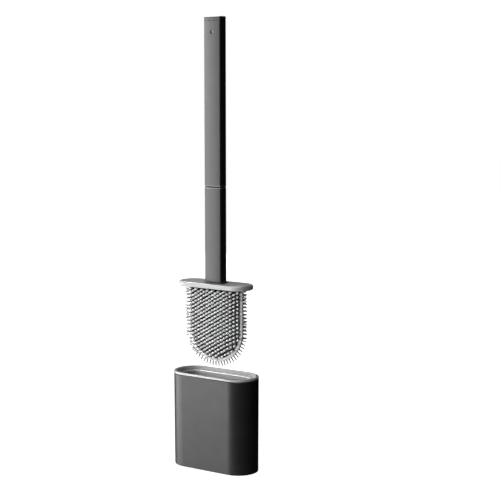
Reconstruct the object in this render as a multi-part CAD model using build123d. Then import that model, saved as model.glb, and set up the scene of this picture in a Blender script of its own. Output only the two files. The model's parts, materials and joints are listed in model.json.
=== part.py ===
from build123d import *
import os
from math import cos, pi, radians, sin, tan

# A flat soft-bristled toilet brush and the slim free-standing holder it parks in.
# Millimetres, +Z up. The origin is on the floor under the middle of the holder, X runs
# along the holder's long side and Y across it. The brush hangs in the air over the holder,
# drawn straight up out of it, which is the rest pose of the assembly.

# ---- Driving dimensions -------------------------------------------------------------

# Holder: a sleeve with half-round ends, a little narrower at its base than at its rim.
holder_w = 118.6
holder_d = 51.0
holder_h = 121.5
holder_draft = 0.5
shell_wall = 1.8
shell_base = 0.4
shell_edge_r = 0.6
shell_top_chamfer = 0.8
shell_flange_t = 1.8
shell_flange_w = 4.0
shell_bead = 0.5
shell_bead_h = 0.8
plate_t = 2.2
foot_r = 6.0
foot_recess = 0.8
foot_x = 38.0
foot_y = 10.0
foot_chamfer = 0.4

# Liner: its lip covers the sleeve's top edge, its ledge carries the brush's collar.
lip_t = 2.2
lip_edge_r = 0.8
rim_edge_r = 0.3
ledge_edge_r = 1.2
pocket_w = 111.6
pocket_d = 44.0
ledge_drop = 4.2
ledge_t = 2.0
well_w = 99.0
well_d = 32.0
well_draft = 1.0
well_wall = 1.6
well_floor_z = 13.0
well_floor_t = 1.6
drain_slots = 9
drain_pitch = 9.5
drain_w = 3.0
drain_l = 20.0

# Drip tray, clipped round the foot of the liner's well.
tray_z = 5.2
tray_grip = 4.6
tray_wall = 1.5
tray_floor_t = 1.4
tray_edge_r = 1.5
tray_sump_w = 96.0
tray_sump_d = 29.0

# Collar and brush head, at their lifted height.
collar_w = 104.6
collar_d = 37.0
collar_t = 6.0
collar_z = 231.0
collar_top_r = 2.2
collar_bottom_r = 1.6
blade_w = 81.6
blade_t = 3.2
blade_h = 94.4
blade_edge_r = 0.8
core_inset = 8.0
core_t = 1.4
tang_w = 16.0
tang_d = 6.4
tang_h = 40.0
tang_r = 1.5

# Bristles: round pins in staggered columns on both faces, longest along the middle of the
# blade, and one row of slimmer pins round its edge.
bristle_r = 1.1
face_bristle = 9.0
bristle_crown = 2.0
bristle_splay = 25.0
splay_power = 5
face_pitch_x = 4.2
face_pitch_z = 4.85
face_margin = 3.6
edge_bristle_r = 0.65
edge_bristle = 6.4
edge_pitch = 4.2
bristle_root = 0.6

# Handle: a bar in two lengths, its section a rounded rectangle with softly crowned broad faces.
bar_w = 24.7
bar_d = 14.7
bar_r = 1.8
bar_crown = 0.9
bar_wall = 1.2
inner_r = 1.8
foot_ring_lip = 2.0
foot_ring_t = 1.5
foot_ring_edge_r = 0.6
lower_len = 118.0
seam_t = 0.6
seam_inset = 0.4
seam_chamfer = 0.5
upper_len = 202.4
cap_t = 5.5
cap_edge_r = 1.0
cap_chamfer = 0.3
cap_plug = 8.0
socket_len = 44.0
joiner_grip = 34.0
joiner_spigot = 32.0
joiner_wall = 1.8
joiner_lead_in = 1.0
bore_r = 1.0
dimple_r = 2.4
dimple_depth = 0.6
dimple_drop = 19.0

# Gaps between pieces: a press or glued fit in one body, and a running gap between bodies.
press_gap = 0.05
run_gap = 0.3
rest_gap = 0.1

# ---- Heights and sizes that follow --------------------------------------------------

lip_z = holder_h - lip_t
shell_top = lip_z - rest_gap
cavity_w = holder_w - 2 * shell_wall
cavity_d = holder_d - 2 * shell_wall
plate_z = shell_base + shell_flange_t
ledge_z = holder_h - ledge_drop
blade_r = blade_w / 2
blade_centre_z = collar_z - blade_h + blade_r
collar_top = collar_z + collar_t
lower_z = collar_top + foot_ring_t
seam_z = lower_z + lower_len
upper_z = seam_z + seam_t
cap_z = upper_z + upper_len
inner_w = bar_w - 2 * bar_wall
inner_d = bar_d - 2 * (bar_crown + bar_wall)
spigot_w = inner_w - 2 * run_gap
spigot_d = inner_d - 2 * run_gap
spigot_r = inner_r - run_gap


# ---- Shapes used more than once -----------------------------------------------------

def slot_prism(width, depth, z0, z1):
    """A straight block with half-round ends between two heights."""
    return extrude(Pos(0, 0, z0) * SlotOverall(width, depth), z1 - z0)


def slot_taper(width, depth, z0, z1, draft):
    """The same block, narrower by the draft on every side at its lower end."""
    low = Pos(0, 0, z0) * SlotOverall(width - 2 * draft, depth - 2 * draft)
    high = Pos(0, 0, z1) * SlotOverall(width, depth)
    return loft([low, high])


def bar_prism(width, depth, radius, z0, z1):
    """A straight bar with a rounded rectangular section between two heights."""
    return extrude(Pos(0, 0, z0) * RectangleRounded(width, depth, radius), z1 - z0)


def crowned_bar(z0, z1):
    """The outer shape of the handle: its broad faces bulge by the crown, its narrow ones are flat."""
    x = bar_w / 2
    y = bar_d / 2 - bar_crown
    front = ThreePointArc((-x, -y), (0, -bar_d / 2), (x, -y))
    right = Line((x, -y), (x, y))
    back = ThreePointArc((x, y), (0, bar_d / 2), (-x, y))
    left = Line((-x, y), (-x, -y))
    section = make_face([front, right, back, left])
    section = fillet(section.vertices(), bar_r)
    return extrude(Pos(0, 0, z0) * section, z1 - z0)


def top_edges(solid):
    return solid.edges().group_by(Axis.Z)[-1]


def bottom_edges(solid):
    return solid.edges().group_by(Axis.Z)[0]


def paddle(inset, z_top, thickness):
    """A flat U-shaped plate, centred on Y = 0, inset from the blade's outline."""
    radius = blade_r - inset
    side_h = z_top - blade_centre_z
    side = Pos(0, blade_centre_z + side_h / 2) * Rectangle(2 * radius, side_h)
    outline = side + Pos(0, blade_centre_z) * Circle(radius)
    return extrude(Plane.XZ * outline, thickness / 2, both=True)


# ---- Holder -------------------------------------------------------------------------

def make_outer_shell():
    body = slot_taper(holder_w, holder_d, shell_base, shell_top, holder_draft)
    body = fillet(bottom_edges(body), shell_edge_r)
    body = chamfer(top_edges(body), shell_top_chamfer)
    plate_top = plate_z + plate_t + press_gap
    bead_top = plate_top + shell_bead_h
    mouth_w = cavity_w - 2 * shell_flange_w
    mouth_d = cavity_d - 2 * shell_flange_w
    body -= slot_prism(mouth_w, mouth_d, 0, plate_z)
    body -= slot_prism(cavity_w, cavity_d, plate_z, plate_top)
    body -= slot_prism(cavity_w - 2 * shell_bead, cavity_d - 2 * shell_bead, plate_top, bead_top)
    body -= slot_prism(cavity_w, cavity_d, bead_top, holder_h)
    return body


def make_base_plate():
    plate = slot_prism(cavity_w - 2 * press_gap, cavity_d - 2 * press_gap, plate_z, plate_z + plate_t)
    for x, y in foot_places():
        plate -= Pos(x, y, plate_z) * Cylinder(foot_r + press_gap, 2 * foot_recess)
    return plate


def foot_places():
    return [(sx * foot_x, sy * foot_y) for sx in (-1, 1) for sy in (-1, 1)]


def make_foot(x, y):
    height = plate_z + foot_recess
    foot = Pos(x, y, height / 2) * Cylinder(foot_r, height)
    return chamfer(bottom_edges(foot), foot_chamfer)


# ---- Liner --------------------------------------------------------------------------

def make_inner_liner():
    ledge_under = ledge_z - ledge_t
    floor_under = well_floor_z - well_floor_t
    lip = slot_prism(holder_w, holder_d, lip_z, holder_h)
    lip = fillet(top_edges(lip), lip_edge_r)
    skirt = slot_prism(cavity_w - 2 * run_gap, cavity_d - 2 * run_gap, ledge_under, lip_z)
    outer_w = well_w + 2 * well_wall
    outer_d = well_d + 2 * well_wall
    well = slot_taper(outer_w, outer_d, floor_under, ledge_under, well_draft)
    body = lip + skirt + well
    body -= slot_prism(pocket_w, pocket_d, ledge_z, holder_h)
    body -= slot_taper(well_w, well_d, well_floor_z, ledge_z, well_draft)
    body -= drain_cutters()
    body = fillet(inner_edges(body, ledge_z, well_w, well_d), ledge_edge_r)
    return fillet(inner_edges(body, holder_h, pocket_w, pocket_d), rim_edge_r)


def drain_cutters():
    cutters = Part()
    for i in range(drain_slots):
        x = (i - (drain_slots - 1) / 2) * drain_pitch
        slot = Rot(0, 0, 90) * SlotOverall(drain_l, drain_w)
        cutters += Pos(x, 0, well_floor_z - 2 * well_floor_t) * extrude(slot, 3 * well_floor_t)
    return cutters


def inner_edges(body, z, width, depth):
    """The edges at height z round a hole of that width and depth."""
    level = body.edges().filter_by_position(Axis.Z, z - 0.01, z + 0.01)
    return [edge for edge in level if is_inside(edge, width, depth)]


def is_inside(edge, width, depth):
    box = edge.bounding_box()
    reach_x = max(abs(box.min.X), abs(box.max.X))
    reach_y = max(abs(box.min.Y), abs(box.max.Y))
    return reach_x < width / 2 + 0.1 and reach_y < depth / 2 + 0.1


def make_drip_tray():
    floor_under = well_floor_z - well_floor_t
    grip_w = well_w + 2 * well_wall - 2 * well_draft + 4 * press_gap
    grip_d = well_d + 2 * well_wall - 2 * well_draft + 4 * press_gap
    top = floor_under + tray_grip
    body = slot_prism(grip_w + 2 * tray_wall, grip_d + 2 * tray_wall, tray_z, top)
    body = fillet(bottom_edges(body), tray_edge_r)
    body -= slot_prism(grip_w, grip_d, floor_under, top)
    body -= slot_prism(tray_sump_w, tray_sump_d, tray_z + tray_floor_t, floor_under)
    return body


# ---- Brush head ---------------------------------------------------------------------

def make_collar():
    collar = slot_prism(collar_w, collar_d, collar_z, collar_top)
    collar = fillet(top_edges(collar), collar_top_r)
    collar = fillet(bottom_edges(collar), collar_bottom_r)
    return collar - tang_block(collar_z, collar_top, press_gap)


def tang_block(z0, z1, gap):
    return bar_prism(tang_w + 2 * gap, tang_d + 2 * gap, tang_r, z0, z1)


def make_head_core():
    """A stiff plate inside the soft blade, with a tang up through the collar."""
    return paddle(core_inset, collar_z, core_t) + tang_block(collar_z, collar_top + tang_h, 0)


def make_brush_head():
    blade = paddle(0, collar_z, blade_t)
    rim = blade.edges().filter_by(lambda e: e.bounding_box().min.Z < collar_z - 1)
    face_rim = rim.filter_by(lambda e: abs(abs(e.center().Y) - blade_t / 2) < 0.01)
    blade = fillet(face_rim, blade_edge_r)
    blade -= paddle(core_inset, collar_z, core_t)
    return blade.fuse(*face_bristles(), *edge_bristles())


def bristle(radius, length):
    """One bristle along +Z, rooted a little under the surface at Z = 0."""
    base = (Align.CENTER, Align.CENTER, Align.MIN)
    return Pos(0, 0, -bristle_root) * Cylinder(radius, length + bristle_root, align=base)


def face_spots():
    """Foot of each face bristle in staggered columns, and how far out it lies, in X and Z."""
    columns = int(blade_w / face_pitch_x) + 1
    rows = int(blade_h / face_pitch_z) + 1
    for i in range(columns):
        x = (i - (columns - 1) / 2) * face_pitch_x
        stagger = face_pitch_z / 2 if i % 2 else 0
        for j in range(rows):
            z = collar_z - face_margin - stagger - j * face_pitch_z
            out = Vector(x, 0, min(0, z - blade_centre_z)) * (1 / (blade_r - face_margin))
            if out.length < 1:
                yield x, z, out


def face_bristles():
    """Bristles on both faces, longest in the middle; the outermost ones splay outward."""
    pins = []
    for x, z, out in face_spots():
        pin = bristle(bristle_r, face_bristle + bristle_crown * (1 - out.length ** 2))
        lean = out * (tan(radians(bristle_splay)) * out.length ** splay_power)
        for side in (-1, 1):
            axis = lean + Vector(0, side, 0)
            pins.append(Plane((x, side * blade_t / 2, z), z_dir=axis) * pin)
    return pins


def edge_bristles():
    """One row round the rim: down both sides, then fanned round the half-round end."""
    pin = bristle(edge_bristle_r, edge_bristle)
    pins = []
    side_h = collar_z - blade_centre_z
    for j in range(int(side_h / edge_pitch)):
        z = blade_centre_z + (j + 0.5) * edge_pitch
        pins.append(Pos(blade_r, 0, z) * Rot(0, 90, 0) * pin)
        pins.append(Pos(-blade_r, 0, z) * Rot(0, -90, 0) * pin)
    steps = round(pi * blade_r / edge_pitch)
    for k in range(steps):
        angle = pi * (k + 0.5) / steps
        x = blade_r * cos(angle)
        z = blade_centre_z - blade_r * sin(angle)
        pins.append(Pos(x, 0, z) * Rot(0, 90 + 180 * (k + 0.5) / steps, 0) * pin)
    return pins


# ---- Handle -------------------------------------------------------------------------

def make_foot_ring():
    width = bar_w + 2 * foot_ring_lip
    depth = bar_d + 2 * foot_ring_lip
    ring = bar_prism(width, depth, bar_r + foot_ring_lip, collar_top, lower_z)
    ring = fillet(top_edges(ring), foot_ring_edge_r)
    return ring - tang_block(collar_top, lower_z, press_gap)


def make_tang_socket():
    """The insert in the foot of the lower bar that grips the tang."""
    gap = press_gap
    insert = bar_prism(inner_w - 2 * gap, inner_d - 2 * gap, inner_r - gap, lower_z, lower_z + socket_len)
    return insert - tang_block(lower_z, collar_top + tang_h + 1, gap)


def make_lower_bar():
    tube = chamfer(top_edges(crowned_bar(lower_z, seam_z)), seam_chamfer)
    return tube - bar_prism(inner_w, inner_d, inner_r, lower_z, seam_z)


def make_joiner():
    """A hollow spigot: its lower half is fixed, its upper half plugs into the upper bar."""
    gap = press_gap
    grip = bar_prism(inner_w - 2 * gap, inner_d - 2 * gap, inner_r - gap, seam_z - joiner_grip, seam_z)
    spigot = bar_prism(spigot_w, spigot_d, spigot_r, seam_z, upper_z + joiner_spigot)
    spigot = chamfer(top_edges(spigot), joiner_lead_in)
    bore_w = spigot_w - 2 * joiner_wall
    bore_d = spigot_d - 2 * joiner_wall
    bore = bar_prism(bore_w, bore_d, bore_r, seam_z - joiner_grip, upper_z + joiner_spigot)
    return grip + spigot - bore


def make_seam_gasket():
    """A thin ring in the seam, set back a little from the faces of the bar."""
    ring_w = bar_w - 2 * seam_inset
    ring_d = bar_d - 2 * (bar_crown + seam_inset)
    ring = bar_prism(ring_w, ring_d, bar_r - seam_inset, seam_z, upper_z)
    gap = press_gap
    return ring - bar_prism(spigot_w + 2 * gap, spigot_d + 2 * gap, spigot_r + gap, seam_z, upper_z)


def make_upper_bar():
    tube = chamfer(bottom_edges(crowned_bar(upper_z, cap_z)), seam_chamfer)
    tube -= bar_prism(inner_w, inner_d, inner_r, upper_z, cap_z)
    ball_r = (dimple_r ** 2 + dimple_depth ** 2) / (2 * dimple_depth)
    ball_y = -bar_d / 2 + dimple_depth - ball_r
    return tube - Pos(0, ball_y, cap_z + cap_t - dimple_drop) * Sphere(ball_r)


def make_top_cap():
    head = crowned_bar(cap_z, cap_z + cap_t)
    head = fillet(top_edges(head), cap_edge_r)
    head = chamfer(bottom_edges(head), cap_chamfer)
    gap = press_gap
    plug = bar_prism(inner_w - 2 * gap, inner_d - 2 * gap, inner_r - gap, cap_z - cap_plug, cap_z)
    hollow = bar_prism(inner_w - 2 * bar_wall, inner_d - 2 * bar_wall, bore_r, cap_z - cap_plug, cap_z)
    return head + plug - hollow


# ---- One STEP per piece -------------------------------------------------------------

def make_pieces():
    pieces = {
        "outer_shell": make_outer_shell(),
        "base_plate": make_base_plate(),
        "inner_liner": make_inner_liner(),
        "drip_tray": make_drip_tray(),
        "collar_lid": make_collar(),
        "head_core": make_head_core(),
        "brush_head": make_brush_head(),
        "handle_foot_ring": make_foot_ring(),
        "tang_socket": make_tang_socket(),
        "lower_handle": make_lower_bar(),
        "handle_joiner": make_joiner(),
        "seam_gasket": make_seam_gasket(),
        "upper_handle": make_upper_bar(),
        "handle_top_cap": make_top_cap(),
    }
    for number, (x, y) in enumerate(foot_places(), start=1):
        pieces[f"anti_slip_foot_{number}"] = make_foot(x, y)
    return pieces


os.makedirs("parts", exist_ok=True)
for name, piece in make_pieces().items():
    export_step(piece, f"parts/{name}.step")
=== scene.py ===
import json
import math
import random

import bpy
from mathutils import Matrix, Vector


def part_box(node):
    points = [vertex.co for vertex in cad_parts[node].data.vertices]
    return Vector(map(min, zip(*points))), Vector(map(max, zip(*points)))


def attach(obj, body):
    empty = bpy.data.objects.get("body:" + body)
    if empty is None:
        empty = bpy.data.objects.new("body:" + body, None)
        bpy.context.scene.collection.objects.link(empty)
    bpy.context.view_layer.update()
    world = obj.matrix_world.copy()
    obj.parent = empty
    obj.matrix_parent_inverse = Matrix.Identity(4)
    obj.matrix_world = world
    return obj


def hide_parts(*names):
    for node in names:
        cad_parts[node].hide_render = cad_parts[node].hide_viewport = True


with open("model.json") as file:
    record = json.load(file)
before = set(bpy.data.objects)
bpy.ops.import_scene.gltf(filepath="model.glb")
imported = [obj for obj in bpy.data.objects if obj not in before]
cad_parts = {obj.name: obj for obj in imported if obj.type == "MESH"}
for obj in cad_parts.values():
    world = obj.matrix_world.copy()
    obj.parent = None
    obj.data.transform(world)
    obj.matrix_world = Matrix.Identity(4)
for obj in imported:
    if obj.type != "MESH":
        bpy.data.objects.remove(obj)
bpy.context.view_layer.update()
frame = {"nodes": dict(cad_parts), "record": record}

# Looks for the lifted toilet brush and its holder. Metres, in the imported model's frame.

# ---- Camera and studio --------------------------------------------------------------

AZIMUTH = math.radians(33.0)
ELEVATION = math.radians(7.64)
CAMERA_DISTANCE = 1.696
AIM_RIGHT = 0.0428
AIM_HEIGHT = 0.2777
LENS = 98.0
SENSOR = 36.0

# Softboxes: azimuth and elevation in degrees from LAMP_CENTRE, width and height in metres,
# radiance, and whether the lamp lights matt surfaces and whether it shows in reflections.
LAMP_CENTRE = Vector((0, 0, 0.2))
LAMP_DISTANCE = 2.0
SOFTBOXES = {
    "key": (-56.0, 0.0, 2.8, 1.6, 5.0, True, True),
    "strip": (-60.0, 20.0, 0.8, 1.0, 5.5, True, True),
    "glint": (-118.0, 52.0, 1.4, 1.0, 32.0, False, True),
    "overhead": (0.0, 82.0, 0.8, 0.8, 32.0, False, True),
    "front_fill": (-12.0, 3.0, 1.6, 1.6, 2.6, True, False),
    "back_fill": (-150.0, 0.0, 1.2, 1.2, 3.0, True, False),
}
AMBIENT = 0.09
BACKDROP = 1.0
FLOOR_GLOW = 0.97
FLOOR_GREY = 0.45
FLOOR_SIZE = 12.0
FLOOR_DROP = 0.0003

# ---- Brush head ---------------------------------------------------------------------

BLADE_T = 0.0032
BLADE_EDGE_R = 0.0008
BLADE_MARGIN = 0.0036
# FIELD_FADE: the width over which the blade's painted shade fades into its light grey margin.
FIELD_FADE = 0.0035
FACE_BRISTLE = 0.0090
BRISTLE_CROWN = 0.0020
PITCH_X = 0.0042
PITCH_Z = 0.00485
EDGE_BRISTLE = 0.0064
EDGE_PITCH = 0.0042
BRISTLE_SIDES = 12
ARC_STEPS = 64
ROUND_STEPS = 6
TILT = math.radians(1.6)
SPLAY = math.radians(25.0)
SPLAY_POWER = 5
SEED = 7

# Radii of a bristle: at its flared foot, above the flare and at its round tip.
FACE_RADII = (0.0011, 0.0009, 0.0013)
EDGE_RADII = (0.0010, 0.00070, 0.00055)
FLARE = 0.001

# Painted shade on the soft rubber, whose own colour is white on the bristles and light grey on
# the blade. A face bristle's shade rises from 0 at its foot, painted dark as the shade between
# the bristles, to 1 at its tip; the blade between them is painted dark as shade, its bare margin
# keeps its own light grey, and the edge bristles are painted dark grey as shade, one shade each.
# The rubber is painted dark up to DARK_BELOW and is its own white from WHITE_ABOVE.
FIELD_SHADE = 0.0
MARGIN_SHADE = 0.6
EDGE_SHADE = 0.535
DARK_BELOW = 0.52
WHITE_ABOVE = 0.64
# The colours at the two ends: painted shade, and the rubber's own white.
BRISTLE_SHADOW = (0.01, 0.01, 0.011)
BRISTLE_WHITE = (0.96, 0.965, 0.97)

# ---- Colours ------------------------------------------------------------------------

# The two ends of each moulded material's mottling.
CHARCOAL = (0.0195, 0.02, 0.0215), (0.0255, 0.0262, 0.028)
BLACK = (0.006, 0.006, 0.0065), (0.012, 0.012, 0.013)
LINER = (0.48, 0.476, 0.484), (0.51, 0.506, 0.514)
COLLAR = (0.45, 0.453, 0.46), (0.49, 0.493, 0.50)

# The bar's seam: a band of painted highlight on both sides of a groove of painted shade,
# each with its half height.
SEAM_HIGHLIGHT = (0.13, 0.132, 0.138)
SEAM_HIGHLIGHT_REACH = 0.0022
GROOVE_SHADE = (0.008, 0.008, 0.009)
GROOVE_SHADE_REACH = 0.0010

# Features per metre of the mottling and of the uneven gloss, and how far the gloss varies.
MOTTLE_SCALE = 60.0
GLOSS_SCALE = 220.0
GLOSS_RANGE = 0.03


def direction(azimuth, elevation=0.0):
    """The unit vector from the object towards a viewer or lamp at that azimuth."""
    flat = math.cos(elevation)
    return Vector((math.sin(azimuth) * flat, -math.cos(azimuth) * flat, math.sin(elevation)))


# ---- Materials ----------------------------------------------------------------------

def new_material(name):
    material = bpy.data.materials.new(name)
    material.use_nodes = True
    shader = material.node_tree.nodes["Principled BSDF"]
    return material, material.node_tree, shader


def noise(tree, scale, detail=3.0, roughness=0.5):
    """Solid noise in the object's own space; the scale is in features per metre."""
    nodes, links = tree.nodes, tree.links
    place = nodes.new("ShaderNodeTexCoord")
    texture = nodes.new("ShaderNodeTexNoise")
    texture.inputs["Scale"].default_value = scale
    texture.inputs["Detail"].default_value = detail
    texture.inputs["Roughness"].default_value = roughness
    links.new(place.outputs["Object"], texture.inputs["Vector"])
    return texture.outputs["Fac"]


def remap(tree, value, low, high, start=0.3, end=0.7, smooth=False):
    """Stretches start to end over low to high. Noise lies mostly between 0.3 and 0.7."""
    node = tree.nodes.new("ShaderNodeMapRange")
    node.interpolation_type = "SMOOTHSTEP" if smooth else "LINEAR"
    node.inputs["From Min"].default_value = start
    node.inputs["From Max"].default_value = end
    node.inputs["To Min"].default_value = low
    node.inputs["To Max"].default_value = high
    tree.links.new(value, node.inputs["Value"])
    return node.outputs["Result"]


def tint(tree, value, dark, light):
    """A colour between dark and light; either may be a colour or another node's output."""
    mix = tree.nodes.new("ShaderNodeMix")
    mix.data_type = "RGBA"
    for name, colour in (("A", dark), ("B", light)):
        socket = next(s for s in mix.inputs if s.name == name and s.type == "RGBA")
        if isinstance(colour, tuple):
            socket.default_value = (*colour, 1)
        else:
            tree.links.new(colour, socket)
    tree.links.new(value, mix.inputs["Factor"])
    return next(s for s in mix.outputs if s.type == "RGBA")


def bump(tree, shader, height, distance, strength=1.0):
    node = tree.nodes.new("ShaderNodeBump")
    node.inputs["Strength"].default_value = strength
    node.inputs["Distance"].default_value = distance
    tree.links.new(height, node.inputs["Height"])
    tree.links.new(node.outputs["Normal"], shader.inputs["Normal"])


def height_band(tree, z, reach):
    """1 at height z in the object's own space, falling to 0 at reach above and below it."""
    nodes, links = tree.nodes, tree.links
    place = nodes.new("ShaderNodeTexCoord")
    split = nodes.new("ShaderNodeSeparateXYZ")
    links.new(place.outputs["Object"], split.inputs["Vector"])
    offset = nodes.new("ShaderNodeMath")
    offset.operation = "SUBTRACT"
    offset.inputs[1].default_value = z
    links.new(split.outputs["Z"], offset.inputs[0])
    size = nodes.new("ShaderNodeMath")
    size.operation = "ABSOLUTE"
    links.new(offset.outputs["Value"], size.inputs[0])
    return remap(tree, size.outputs["Value"], 1.0, 0.0, 0.6 * reach, reach, smooth=True)


def moulded(name, colours, rough, grain, grain_depth, specular=0.5):
    """A moulded or painted surface: faint mottling, uneven gloss and a fine grain."""
    material, tree, shader = new_material(name)
    mottle = noise(tree, MOTTLE_SCALE, 4.0)
    colour = tint(tree, remap(tree, mottle, 0, 1), *colours)
    tree.links.new(colour, shader.inputs["Base Color"])
    gloss = noise(tree, GLOSS_SCALE, 2.0)
    roughness = remap(tree, gloss, rough - GLOSS_RANGE, rough + GLOSS_RANGE)
    tree.links.new(roughness, shader.inputs["Roughness"])
    shader.inputs["Specular IOR Level"].default_value = specular
    bump(tree, shader, noise(tree, grain, 2.0), grain_depth)
    return material


def bar_material():
    """The painted bar, with painted shade in the seam's groove and painted highlight beside it.
    """
    material = moulded("charcoal_bar_look", CHARCOAL, 0.33, 2600, 0.000006)
    tree = material.node_tree
    shader = tree.nodes["Principled BSDF"]
    low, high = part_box("seam_gasket")
    seam_z = (low.z + high.z) / 2
    paint = shader.inputs["Base Color"].links[0].from_socket
    # Painted highlight round the seam, then painted shade in its groove.
    colour = tint(tree, height_band(tree, seam_z, SEAM_HIGHLIGHT_REACH), paint, SEAM_HIGHLIGHT)
    colour = tint(tree, height_band(tree, seam_z, GROOVE_SHADE_REACH), colour, GROOVE_SHADE)
    tree.links.new(colour, shader.inputs["Base Color"])
    return material


def bristle_material():
    """Soft, slightly translucent white rubber, painted dark as shade at the foot, white at the
    tip.
    """
    material, tree, shader = new_material("soft_bristle_look")
    shade = tree.nodes.new("ShaderNodeAttribute")
    shade.attribute_name = "shade"
    light = remap(tree, shade.outputs["Fac"], 0.0, 1.0, DARK_BELOW, WHITE_ABOVE, smooth=True)
    colour = tint(tree, light, BRISTLE_SHADOW, BRISTLE_WHITE)
    tree.links.new(colour, shader.inputs["Base Color"])
    tree.links.new(remap(tree, noise(tree, 300.0), 0.42, 0.55), shader.inputs["Roughness"])
    shader.inputs["Subsurface Weight"].default_value = 0.1
    shader.inputs["Subsurface Radius"].default_value = (1.0, 1.0, 1.0)
    shader.inputs["Subsurface Scale"].default_value = 0.003
    bump(tree, shader, noise(tree, 2500.0), 0.00003)
    return material


def make_materials():
    """Each slot's look. The numbers are roughness, grain per metre and the grain's depth."""
    return {
        "charcoal_shell": moulded("charcoal_shell_look", CHARCOAL, 0.36, 1800, 0.00001),
        "charcoal_bar": bar_material(),
        "charcoal_cap": moulded("charcoal_cap_look", CHARCOAL, 0.38, 1800, 0.00001),
        "dark_plastic": moulded("dark_plastic_look", BLACK, 0.5, 1500, 0.00002),
        "liner_white": moulded("liner_white_look", LINER, 0.22, 1200, 0.000002),
        "collar_grey": moulded("collar_grey_look", COLLAR, 0.36, 2400, 0.000004, specular=0.16),
        "core_plastic": moulded("core_plastic_look", LINER, 0.45, 1500, 0.00002),
        "black_rubber": moulded("black_rubber_look", BLACK, 0.6, 2200, 0.00003, specular=0.3),
        "soft_bristle": bristle_material(),
    }


def dress_nodes(materials):
    """Gives each CAD node the look of the slot that the record names for it."""
    for part in frame["record"]["subparts"]:
        node = frame["nodes"][part["node"]]
        node.data.materials.clear()
        node.data.materials.append(materials[part["material_slot"]])


# ---- Brush head: blade and bristles as one soft moulding ----------------------------

class HeadMesh:
    """Collects the head's points and faces, and the painted shade of the rubber at each point.
    """

    def __init__(self):
        self.points = []
        self.faces = []
        self.shades = []

    def ring(self, points, shade):
        first = len(self.points)
        self.points.extend(points)
        self.shades.extend([shade] * len(points))
        return list(range(first, len(self.points)))

    def bridge(self, lower, upper):
        count = len(lower)
        for i in range(count):
            j = (i + 1) % count
            self.faces.append((lower[i], lower[j], upper[j], upper[i]))

    def bridge_all(self, rings):
        for lower, upper in zip(rings, rings[1:]):
            self.bridge(lower, upper)


def bristle_profile(length, radii):
    """(height, radius) along a bristle: a flared foot, a tapering shank and a round tip."""
    foot_r, shank_r, tip_r = radii
    shank_top = length - tip_r
    profile = [(-0.3 * FLARE, foot_r), (0.1 * FLARE, foot_r)]
    profile.append((0.4 * FLARE, shank_r + 0.4 * (foot_r - shank_r)))
    for step in (0, 0.35, 0.7, 1.0):
        height = FLARE + (shank_top - FLARE) * step
        profile.append((height, shank_r + (tip_r - shank_r) * step))
    for angle in (30, 60, 80):
        turn = math.radians(angle)
        profile.append((shank_top + tip_r * math.sin(turn), tip_r * math.cos(turn)))
    return profile


def add_bristle(mesh, foot, axis, length, radii, dice, shade=None):
    """One bristle standing on the blade at foot, leaning a very little at random."""
    lean = Vector([dice.uniform(-TILT, TILT) for _ in range(3)])
    axis = (axis + lean).normalized()
    across = axis.orthogonal().normalized()
    along = axis.cross(across)
    length *= dice.uniform(0.985, 1.0)
    rings = []
    for height, radius in bristle_profile(length, radii):
        points = []
        for k in range(BRISTLE_SIDES):
            turn = 2 * math.pi * k / BRISTLE_SIDES
            rim = across * math.cos(turn) + along * math.sin(turn)
            points.append(foot + axis * height + rim * radius)
        # A face bristle's painted shade rises from its dark foot to its white tip.
        rings.append(mesh.ring(points, max(0.0, height / length) if shade is None else shade))
    mesh.bridge_all(rings)
    mesh.faces.append(tuple(rings[-1]))


def blade_outline(radius, centre_z, top_z):
    """The U-shaped outline as X and Z: down the right side, round the end and up the left."""
    outline = [(radius, top_z)]
    for k in range(ARC_STEPS + 1):
        turn = math.pi * k / ARC_STEPS
        outline.append((radius * math.cos(turn), centre_z - radius * math.sin(turn)))
    outline.append((-radius, top_z))
    return outline


def add_blade(mesh, radius, centre_z, top_z):
    """A flat paddle with a rounded edge, from the middle of its front to that of its back."""
    half_t = BLADE_T / 2
    rings = []

    def add_ring(inset, y, shade):
        outline = blade_outline(radius - inset, centre_z, top_z)
        rings.append(mesh.ring([Vector((x, y, z)) for x, z in outline], shade))

    # Painted shade: the blade between the bristles is dark, fading to the margin's light grey.
    add_ring(BLADE_MARGIN + FIELD_FADE, -half_t, FIELD_SHADE)
    add_ring(BLADE_MARGIN, -half_t, MARGIN_SHADE)
    for side in (-1, 1):
        for k in range(ROUND_STEPS + 1):
            step = k if side > 0 else ROUND_STEPS - k
            angle = math.pi / 2 * step / ROUND_STEPS
            y = side * (half_t - BLADE_EDGE_R + BLADE_EDGE_R * math.sin(angle))
            add_ring(BLADE_EDGE_R * (1 - math.cos(angle)), y, MARGIN_SHADE)
    add_ring(BLADE_MARGIN, half_t, MARGIN_SHADE)
    add_ring(BLADE_MARGIN + FIELD_FADE, half_t, FIELD_SHADE)
    mesh.bridge_all(rings)
    mesh.faces.append(tuple(reversed(rings[0])))
    mesh.faces.append(tuple(rings[-1]))


def face_spots(radius, centre_z, top_z):
    """Foot of each face bristle in staggered columns, and how far out it lies, in X and Z."""
    columns = int(2 * radius / PITCH_X) + 1
    rows = int((top_z - centre_z + radius) / PITCH_Z) + 1
    for i in range(columns):
        x = (i - (columns - 1) / 2) * PITCH_X
        stagger = PITCH_Z / 2 if i % 2 else 0
        for j in range(rows):
            z = top_z - BLADE_MARGIN - stagger - j * PITCH_Z
            out = Vector((x, 0, min(0, z - centre_z))) / (radius - BLADE_MARGIN)
            if out.length < 1:
                yield x, z, out


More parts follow.
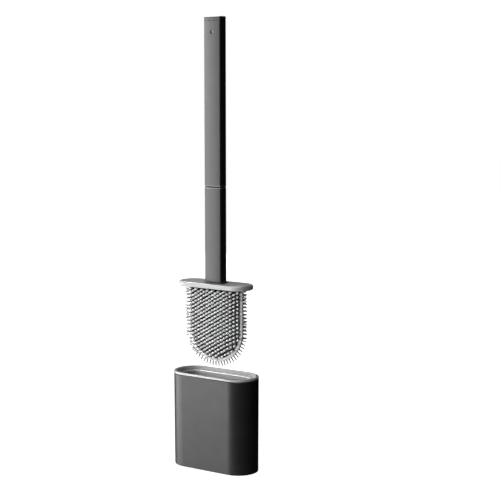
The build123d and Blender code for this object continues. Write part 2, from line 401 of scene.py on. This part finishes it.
def edge_spots(radius, centre_z, top_z):
    """Foot and direction of each edge bristle, in X and Z."""
    for j in range(int((top_z - centre_z) / EDGE_PITCH)):
        z = centre_z + (j + 0.5) * EDGE_PITCH
        yield (radius, z), (1, 0)
        yield (-radius, z), (-1, 0)
    steps = round(math.pi * radius / EDGE_PITCH)
    for k in range(steps):
        turn = math.pi * (k + 0.5) / steps
        out = (math.cos(turn), -math.sin(turn))
        yield (radius * out[0], centre_z + radius * out[1]), out


def add_face_bristles(head, radius, centre_z, top_z, dice):
    """Bristles on both faces: longest in the middle, and splayed outwards near the margin."""
    for x, z, out in face_spots(radius, centre_z, top_z):
        length = FACE_BRISTLE + BRISTLE_CROWN * (1 - out.length_squared)
        lean = out * (math.tan(SPLAY) * out.length ** SPLAY_POWER)
        for side in (-1, 1):
            foot = Vector((x, side * BLADE_T / 2, z))
            axis = (lean + Vector((0, side, 0))).normalized()
            add_bristle(head, foot, axis, length, FACE_RADII, dice)


def add_edge_bristles(head, radius, centre_z, top_z, dice):
    """One row of finer bristles round the blade's edge, all painted one dark grey as shade."""
    for (x, z), (out_x, out_z) in edge_spots(radius, centre_z, top_z):
        out = Vector((out_x, 0, out_z))
        add_bristle(head, Vector((x, 0, z)), out, EDGE_BRISTLE, EDGE_RADII, dice, EDGE_SHADE)


def make_brush_head(material):
    low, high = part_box("brush_head")
    radius = high.x - EDGE_BRISTLE
    top_z = high.z
    centre_z = low.z + EDGE_BRISTLE + radius
    dice = random.Random(SEED)
    head = HeadMesh()
    add_blade(head, radius, centre_z, top_z)
    add_face_bristles(head, radius, centre_z, top_z, dice)
    add_edge_bristles(head, radius, centre_z, top_z, dice)
    data = bpy.data.meshes.new("soft_brush_head")
    data.from_pydata(head.points, [], head.faces)
    # Each point's painted shade, which the bristle material reads.
    data.attributes.new("shade", "FLOAT", "POINT").data.foreach_set("value", head.shades)
    data.polygons.foreach_set("use_smooth", [len(f) == 4 for f in head.faces])
    data.materials.append(material)
    data.update()
    piece = bpy.data.objects.new("soft_brush_head", data)
    bpy.context.scene.collection.objects.link(piece)
    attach(piece, "brush")
    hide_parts("brush_head")


# ---- Studio -------------------------------------------------------------------------

def make_camera():
    right = Vector((math.cos(AZIMUTH), math.sin(AZIMUTH), 0))
    aim = right * AIM_RIGHT + Vector((0, 0, AIM_HEIGHT))
    towards = direction(AZIMUTH, ELEVATION)
    data = bpy.data.cameras.new("camera")
    data.lens = LENS
    data.sensor_width = SENSOR
    camera = bpy.data.objects.new("camera", data)
    camera.location = aim + towards * CAMERA_DISTANCE
    camera.rotation_euler = towards.to_track_quat("Z", "Y").to_euler()
    bpy.context.scene.collection.objects.link(camera)
    bpy.context.scene.camera = camera


def make_softbox(name, azimuth, elevation, width, height, radiance, lights_matt, in_reflections):
    """A rectangular softbox facing the object, unseen by the camera.

    lights_matt and in_reflections say which surfaces it works on: not every lamp does both.
    """
    data = bpy.data.lights.new(name, "AREA")
    data.shape = "RECTANGLE"
    data.size = width
    data.size_y = height
    data.energy = radiance * math.pi * width * height
    lamp = bpy.data.objects.new(name, data)
    out = direction(math.radians(azimuth), math.radians(elevation))
    lamp.location = LAMP_CENTRE + out * LAMP_DISTANCE
    lamp.rotation_euler = out.to_track_quat("Z", "Y").to_euler()
    lamp.visible_camera = False
    lamp.visible_diffuse = lights_matt
    lamp.visible_glossy = in_reflections
    bpy.context.scene.collection.objects.link(lamp)


def make_floor():
    """A plain white card. Nearly all its light is its own, so it takes only a faint shadow."""
    half = FLOOR_SIZE / 2
    data = bpy.data.meshes.new("floor")
    corners = [(-half, -half, 0), (half, -half, 0), (half, half, 0), (-half, half, 0)]
    data.from_pydata(corners, [], [(0, 1, 2, 3)])
    floor = bpy.data.objects.new("floor", data)
    floor.location.z = -FLOOR_DROP
    bpy.context.scene.collection.objects.link(floor)
    material, tree, shader = new_material("floor_card")
    shader.inputs["Base Color"].default_value = (FLOOR_GREY, FLOOR_GREY, FLOOR_GREY, 1)
    shader.inputs["Roughness"].default_value = 1.0
    shader.inputs["Specular IOR Level"].default_value = 0.0
    shader.inputs["Emission Color"].default_value = (1, 1, 1, 1)
    shader.inputs["Emission Strength"].default_value = FLOOR_GLOW
    data.materials.append(material)
    floor.visible_glossy = False
    floor.visible_diffuse = False
    floor.visible_shadow = False


def make_world():
    """White behind the object, and a dim even light from all round, unseen in reflections."""
    world = bpy.data.worlds.new("studio")
    world.use_nodes = True
    tree = world.node_tree
    tree.nodes.clear()
    output = tree.nodes.new("ShaderNodeOutputWorld")
    seen = tree.nodes.new("ShaderNodeBackground")
    seen.inputs["Color"].default_value = (1, 1, 1, 1)
    seen.inputs["Strength"].default_value = BACKDROP
    lit = tree.nodes.new("ShaderNodeBackground")
    lit.inputs["Color"].default_value = (1, 1, 1, 1)
    lit.inputs["Strength"].default_value = AMBIENT
    path = tree.nodes.new("ShaderNodeLightPath")
    mix = tree.nodes.new("ShaderNodeMixShader")
    tree.links.new(path.outputs["Is Camera Ray"], mix.inputs["Fac"])
    tree.links.new(lit.outputs["Background"], mix.inputs[1])
    tree.links.new(seen.outputs["Background"], mix.inputs[2])
    tree.links.new(mix.outputs["Shader"], output.inputs["Surface"])
    world.cycles_visibility.glossy = False
    bpy.context.scene.world = world


def make_studio():
    bpy.context.scene.view_settings.view_transform = "Standard"
    make_camera()
    for name, settings in SOFTBOXES.items():
        make_softbox(name, *settings)
    make_floor()
    make_world()


looks = make_materials()
dress_nodes(looks)
make_brush_head(looks["soft_bristle"])
make_studio()
